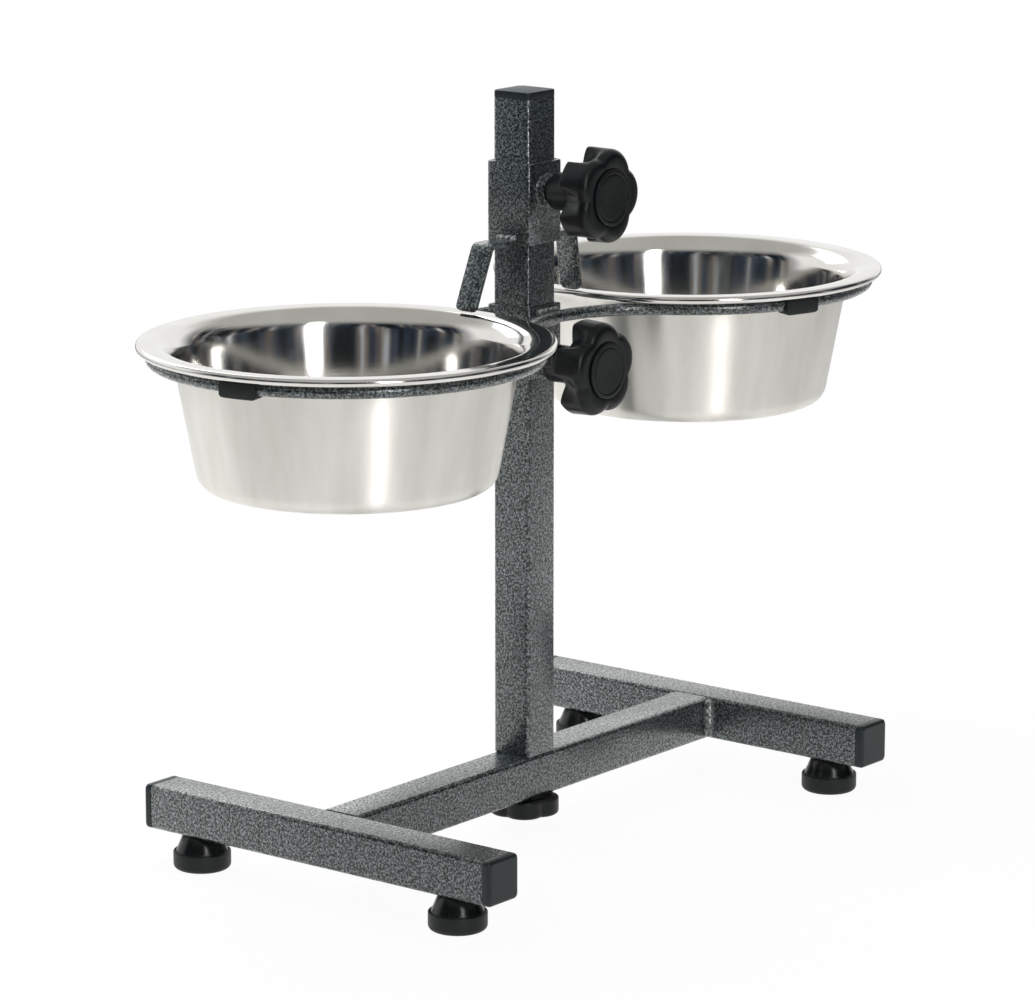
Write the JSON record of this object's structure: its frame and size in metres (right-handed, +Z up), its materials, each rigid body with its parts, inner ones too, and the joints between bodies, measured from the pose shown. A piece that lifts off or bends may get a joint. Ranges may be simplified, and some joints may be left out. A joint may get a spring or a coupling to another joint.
{
  "type": "dog feeder stand",
  "caption": "Free-standing dog feeder: an H-shaped tube base and square post carry a height-adjustable ring holder with lift-out steel bowls, a hook hold-down and star clamp knobs.",
  "frame": {"origin": "on the floor, under the post axis, at the bottom centre of the bounding box", "axes": "+X along the centre beam from the left bowl to the right bowl, +Y along the cross beams away from the clamp knobs, +Z up the post"},
  "size_m": [0.53, 0.245, 0.4235],
  "materials": {
    "hammertone_paint": "glossy dark grey hammertone powder coat with fine silver mottling",
    "black_cap_plastic": "satin black moulded plastic",
    "black_foot_plastic": "semi-gloss black moulded plastic",
    "black_knob_plastic": "satin black moulded plastic",
    "pad_rubber": "matt black rubber",
    "zinc_steel": "bright zinc plate",
    "stainless_steel": "polished inside and on the rim, satin outside"
  },
  "bodies": {
    "base": {"cross_beam_left": "hammertone_paint", "cross_beam_right": "hammertone_paint", "center_beam": "hammertone_paint", "base_weld_beads": "hammertone_paint", "post": "hammertone_paint", "end_cap_left_front": "black_cap_plastic", "end_cap_left_back": "black_cap_plastic", "end_cap_right_front": "black_cap_plastic", "end_cap_right_back": "black_cap_plastic", "post_top_cap": "black_cap_plastic", "foot_left_front": "black_foot_plastic", "foot_left_back": "black_foot_plastic", "foot_right_front": "black_foot_plastic", "foot_right_back": "black_foot_plastic", "foot_screws": "zinc_steel", "post_thread_plug": "zinc_steel"},
    "base_clamp_screw": {"base_knob_stud": "zinc_steel"},
    "base_clamp_knob": {"base_knob_grip": "black_knob_plastic"},
    "carrier": {"carrier_sleeve": "hammertone_paint", "carrier_nut_boss": "hammertone_paint", "bowl_ring": "hammertone_paint", "ring_weld_beads": "hammertone_paint", "ring_pads_left": "pad_rubber", "ring_pads_right": "pad_rubber"},
    "carrier_clamp_screw": {"carrier_knob_stud": "zinc_steel"},
    "carrier_clamp_knob": {"carrier_knob_grip": "black_knob_plastic", "carrier_knob_cap": "black_knob_plastic"},
    "retainer": {"retainer_sleeve": "hammertone_paint", "retainer_nut_boss": "hammertone_paint", "hook_left": "hammertone_paint", "hook_right": "hammertone_paint", "hook_weld_beads": "hammertone_paint"},
    "retainer_clamp_screw": {"retainer_knob_stud": "zinc_steel"},
    "retainer_clamp_knob": {"retainer_knob_grip": "black_knob_plastic", "retainer_knob_cap": "black_knob_plastic"},
    "bowl_left": {"bowl_left": "stainless_steel"},
    "bowl_right": {"bowl_right": "stainless_steel"}
  },
  "joints": [
    {"name": "carrier_height", "type": "slide", "parent": "base", "child": "carrier", "axis": [0, 0, 1], "range_m": [-0.175, 0.02]},
    {"name": "retainer_height", "type": "slide", "parent": "carrier", "child": "retainer", "axis": [0, 0, 1], "range_m": [0, 0.055]},
    {"name": "bowl_left_lift", "type": "slide", "parent": "carrier", "child": "bowl_left", "axis": [0, 0, 1], "range_m": [0, 0.044]},
    {"name": "bowl_right_lift", "type": "slide", "parent": "carrier", "child": "bowl_right", "axis": [0, 0, 1], "range_m": [0, 0.044]},
    {"name": "carrier_clamp_travel", "type": "slide", "parent": "carrier", "child": "carrier_clamp_screw", "axis": [0, -1, 0], "range_m": [0, 0.0025]},
    {"name": "carrier_clamp_turn", "type": "hinge", "parent": "carrier_clamp_screw", "child": "carrier_clamp_knob", "pos_m": [0, -0.05, 0.2716], "axis": [0, -1, 0], "range_deg": [0, 720]},
    {"name": "retainer_clamp_travel", "type": "slide", "parent": "retainer", "child": "retainer_clamp_screw", "axis": [0, -1, 0], "range_m": [0, 0.0025]},
    {"name": "retainer_clamp_turn", "type": "hinge", "parent": "retainer_clamp_screw", "child": "retainer_clamp_knob", "pos_m": [0, -0.05, 0.368], "axis": [0, -1, 0], "range_deg": [0, 720]},
    {"name": "base_clamp_travel", "type": "slide", "parent": "base", "child": "base_clamp_screw", "axis": [0, 0, -1], "range_m": [0, 0.0025]},
    {"name": "base_clamp_turn", "type": "hinge", "parent": "base_clamp_screw", "child": "base_clamp_knob", "pos_m": [0, 0, 0.0125], "axis": [0, 0, -1], "range_deg": [0, 720]}
  ],
  "couplings": [
    {"joint": "bowl_left_lift", "follows": "retainer_height", "ratio": 0.8},
    {"joint": "bowl_right_lift", "follows": "retainer_height", "ratio": 0.8},
    {"joint": "carrier_clamp_travel", "follows": "carrier_clamp_turn", "m_per_rad": 0.00019894},
    {"joint": "retainer_clamp_travel", "follows": "retainer_clamp_turn", "m_per_rad": 0.00019894},
    {"joint": "base_clamp_travel", "follows": "base_clamp_turn", "m_per_rad": 0.00019894}
  ]
}
